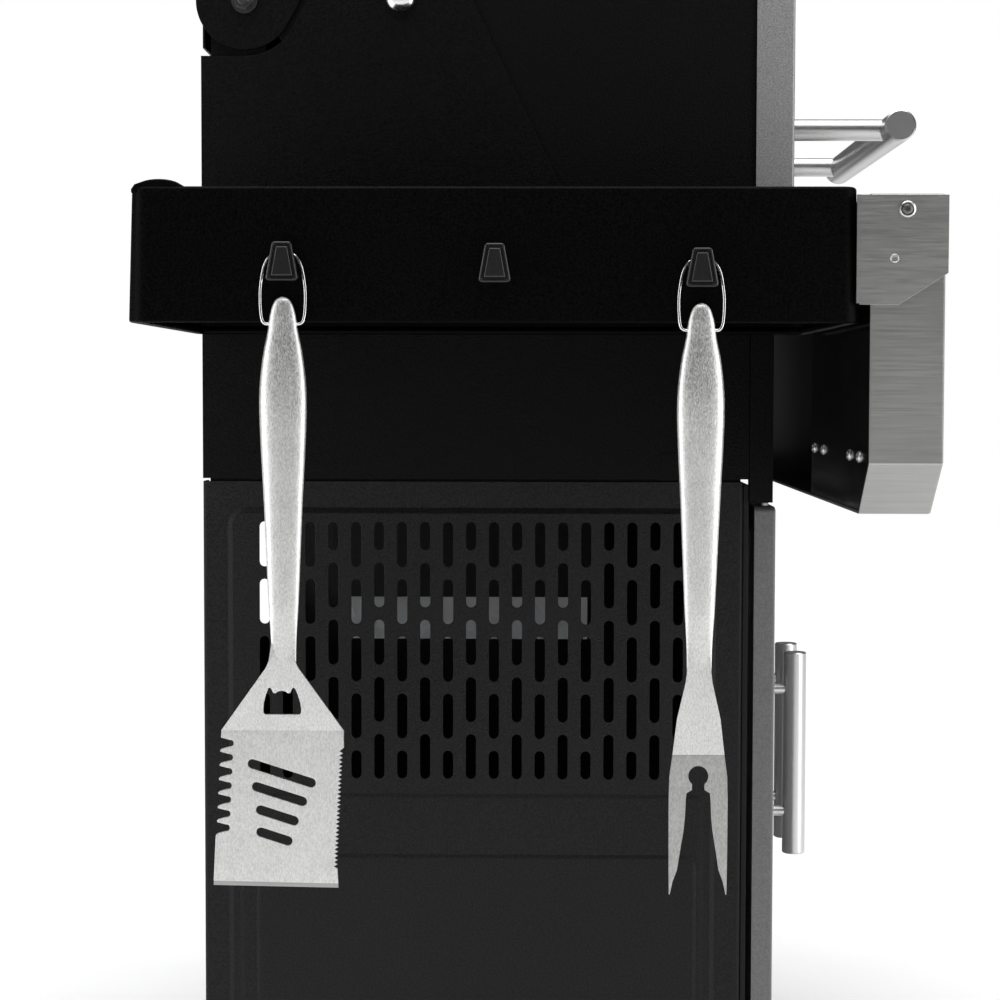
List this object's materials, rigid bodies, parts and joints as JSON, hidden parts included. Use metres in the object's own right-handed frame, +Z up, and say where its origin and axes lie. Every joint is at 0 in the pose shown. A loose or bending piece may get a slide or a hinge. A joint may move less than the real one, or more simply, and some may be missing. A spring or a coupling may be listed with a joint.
{
  "type": "pellet smoker grill",
  "caption": "Cabinet pellet grill with hinged hood, slotted cabinet side, double doors, side hopper, control fascia, and a side shelf with hooks for hanging tools.",
  "frame": {"origin": "on the floor, under the centre of the whole part's box", "axes": "+Z up, -Y the front with the doors and fascia, +X the cook's right, towards the hopper"},
  "size_m": [1.2576, 0.622, 1.205],
  "materials": {
    "black_coat": "black powder coat, fine texture",
    "grey_satin": "satin grey metallic",
    "brushed_steel": "brushed stainless",
    "bright_dome": "polished",
    "galvanised": "galvanised sheet",
    "cast_iron": "matt enamel",
    "gloss_black": "gloss black",
    "black_plastic": "satin moulded",
    "grey_tyre": "moulded tread"
  },
  "bodies": {
    "grill_body": {"cabinet_left_side": "black_coat", "cabinet_right_side": "black_coat", "cabinet_back": "black_coat", "cabinet_floor": "black_coat", "cabinet_front_frame": "black_coat", "firebox_tub": "black_coat", "body_left_side": "black_coat", "body_right_side": "black_coat", "pivot_bolt_left": "black_coat", "pivot_bolt_right": "black_coat", "tray_cradle": "black_coat", "hopper_box": "black_coat", "side_shelf": "black_coat", "door_left_pin": "brushed_steel", "door_right_pin": "brushed_steel", "warming_rack": "brushed_steel", "control_fascia": "brushed_steel", "fascia_bracket": "brushed_steel", "lid_stop_stud_left": "bright_dome", "lid_stop_stud_right": "bright_dome", "auger_tube": "galvanised", "auger_motor": "galvanised", "hopper_chute": "galvanised", "burn_pot": "cast_iron", "drip_pan": "cast_iron", "cooking_grate": "cast_iron", "fascia_back_cover": "gloss_black", "fan_housing": "black_plastic", "power_inlet": "black_plastic", "controller_bezel": "black_plastic", "hook_rear": "black_plastic", "hook_middle": "black_plastic", "hook_front": "black_plastic"},
    "hood": {"lid_front": "grey_satin", "lid_shell": "black_coat", "lid_handle": "brushed_steel"},
    "left_door": {"door_left": "grey_satin", "door_left_handle": "brushed_steel"},
    "right_door": {"door_right": "grey_satin", "door_right_handle": "brushed_steel"},
    "hopper_cover": {"hopper_lid": "black_coat"},
    "grease_drawer": {"grease_tray": "galvanised"},
    "auger": {"auger_screw": "brushed_steel"},
    "fan": {"fan_impeller": "black_plastic"},
    "knob": {"selector_knob": "brushed_steel"},
    "button": {"power_button": "black_plastic"},
    "rear_loop": {"tool_loop_rear": "brushed_steel"},
    "front_loop": {"tool_loop_front": "brushed_steel"},
    "hanging_spatula": {"spatula": "brushed_steel"},
    "hanging_fork": {"meat_fork": "brushed_steel"},
    "caster_front_left": {"caster_fork_front_left": "brushed_steel"},
    "wheel_front_left": {"caster_wheel_front_left": "grey_tyre"},
    "pedal_front_left": {"caster_pedal_front_left": "black_plastic"},
    "caster_front_right": {"caster_fork_front_right": "brushed_steel"},
    "wheel_front_right": {"caster_wheel_front_right": "grey_tyre"},
    "pedal_front_right": {"caster_pedal_front_right": "black_plastic"},
    "caster_rear_left": {"caster_fork_rear_left": "brushed_steel"},
    "wheel_rear_left": {"caster_wheel_rear_left": "grey_tyre"},
    "caster_rear_right": {"caster_fork_rear_right": "brushed_steel"},
    "wheel_rear_right": {"caster_wheel_rear_right": "grey_tyre"}
  },
  "joints": [
    {"name": "hood_hinge", "type": "hinge", "parent": "grill_body", "child": "hood", "pos_m": [0.00875, 0.27, 1.086], "axis": [-1, 0, 0], "range_deg": [0, 92]},
    {"name": "left_door_hinge", "type": "hinge", "parent": "grill_body", "child": "left_door", "pos_m": [-0.28025, -0.17, 0.4], "axis": [0, 0, -1], "range_deg": [0, 110]},
    {"name": "right_door_hinge", "type": "hinge", "parent": "grill_body", "child": "right_door", "pos_m": [0.29775, -0.17, 0.4], "axis": [0, 0, 1], "range_deg": [0, 110]},
    {"name": "hopper_cover_hinge", "type": "hinge", "parent": "grill_body", "child": "hopper_cover", "pos_m": [0.46475, 0.276, 0.974], "axis": [-1, 0, 0], "range_deg": [0, 100]},
    {"name": "grease_drawer_slide", "type": "slide", "parent": "grill_body", "child": "grease_drawer", "axis": [0, -1, 0], "range_m": [0, 0.12]},
    {"name": "auger_spin", "type": "hinge", "parent": "grill_body", "child": "auger", "pos_m": [0.29175, 0.057, 0.64], "axis": [1, 0, 0], "continuous": true},
    {"name": "fan_spin", "type": "hinge", "parent": "grill_body", "child": "fan", "pos_m": [0.35675, 0.187, 0.65], "axis": [1, 0, 0], "continuous": true},
    {"name": "knob_turn", "type": "hinge", "parent": "grill_body", "child": "knob", "pos_m": [0.21075, -0.283, 0.8], "axis": [0, -1, 0], "range_deg": [-135, 135]},
    {"name": "button_press", "type": "slide", "parent": "grill_body", "child": "button", "axis": [0, 1, 0], "range_m": [0, 0.0025], "stiffness_N_per_m": 400},
    {"name": "rear_loop_swing", "type": "hinge", "parent": "grill_body", "child": "rear_loop", "pos_m": [-0.62125, 0.2, 0.852], "axis": [0, 1, 0], "range_deg": [0, 20]},
    {"name": "front_loop_swing", "type": "hinge", "parent": "grill_body", "child": "front_loop", "pos_m": [-0.62125, -0.09, 0.848], "axis": [0, 1, 0], "range_deg": [0, 20]},
    {"name": "spatula_swing", "type": "hinge", "parent": "rear_loop", "child": "hanging_spatula", "pos_m": [-0.62125, 0.2, 0.8045], "axis": [0, 1, 0], "range_deg": [-20, 8]},
    {"name": "fork_swing", "type": "hinge", "parent": "front_loop", "child": "hanging_fork", "pos_m": [-0.62125, -0.09, 0.8005], "axis": [0, 1, 0], "range_deg": [-20, 8]},
    {"name": "caster_swivel_front_left", "type": "hinge", "parent": "grill_body", "child": "caster_front_left", "pos_m": [-0.24125, -0.108, 0.095], "axis": [0, 0, 1], "continuous": true},
    {"name": "wheel_spin_front_left", "type": "hinge", "parent": "caster_front_left", "child": "wheel_front_left", "pos_m": [-0.24125, -0.086, 0.0375], "axis": [1, 0, 0], "continuous": true},
    {"name": "brake_pedal_front_left", "type": "hinge", "parent": "caster_front_left", "child": "pedal_front_left", "pos_m": [-0.24125, -0.059, 0.0695], "axis": [1, 0, 0], "range_deg": [0, 18]},
    {"name": "caster_swivel_front_right", "type": "hinge", "parent": "grill_body", "child": "caster_front_right", "pos_m": [0.25875, -0.108, 0.095], "axis": [0, 0, 1], "continuous": true},
    {"name": "wheel_spin_front_right", "type": "hinge", "parent": "caster_front_right", "child": "wheel_front_right", "pos_m": [0.25875, -0.086, 0.0375], "axis": [1, 0, 0], "continuous": true},
    {"name": "brake_pedal_front_right", "type": "hinge", "parent": "caster_front_right", "child": "pedal_front_right", "pos_m": [0.25875, -0.059, 0.0695], "axis": [1, 0, 0], "range_deg": [0, 18]},
    {"name": "caster_swivel_rear_left", "type": "hinge", "parent": "grill_body", "child": "caster_rear_left", "pos_m": [-0.24125, 0.242, 0.095], "axis": [0, 0, 1], "continuous": true},
    {"name": "wheel_spin_rear_left", "type": "hinge", "parent": "caster_rear_left", "child": "wheel_rear_left", "pos_m": [-0.24125, 0.264, 0.0375], "axis": [1, 0, 0], "continuous": true},
    {"name": "caster_swivel_rear_right", "type": "hinge", "parent": "grill_body", "child": "caster_rear_right", "pos_m": [0.25875, 0.242, 0.095], "axis": [0, 0, 1], "continuous": true},
    {"name": "wheel_spin_rear_right", "type": "hinge", "parent": "caster_rear_right", "child": "wheel_rear_right", "pos_m": [0.25875, 0.264, 0.0375], "axis": [1, 0, 0], "continuous": true}
  ]
}
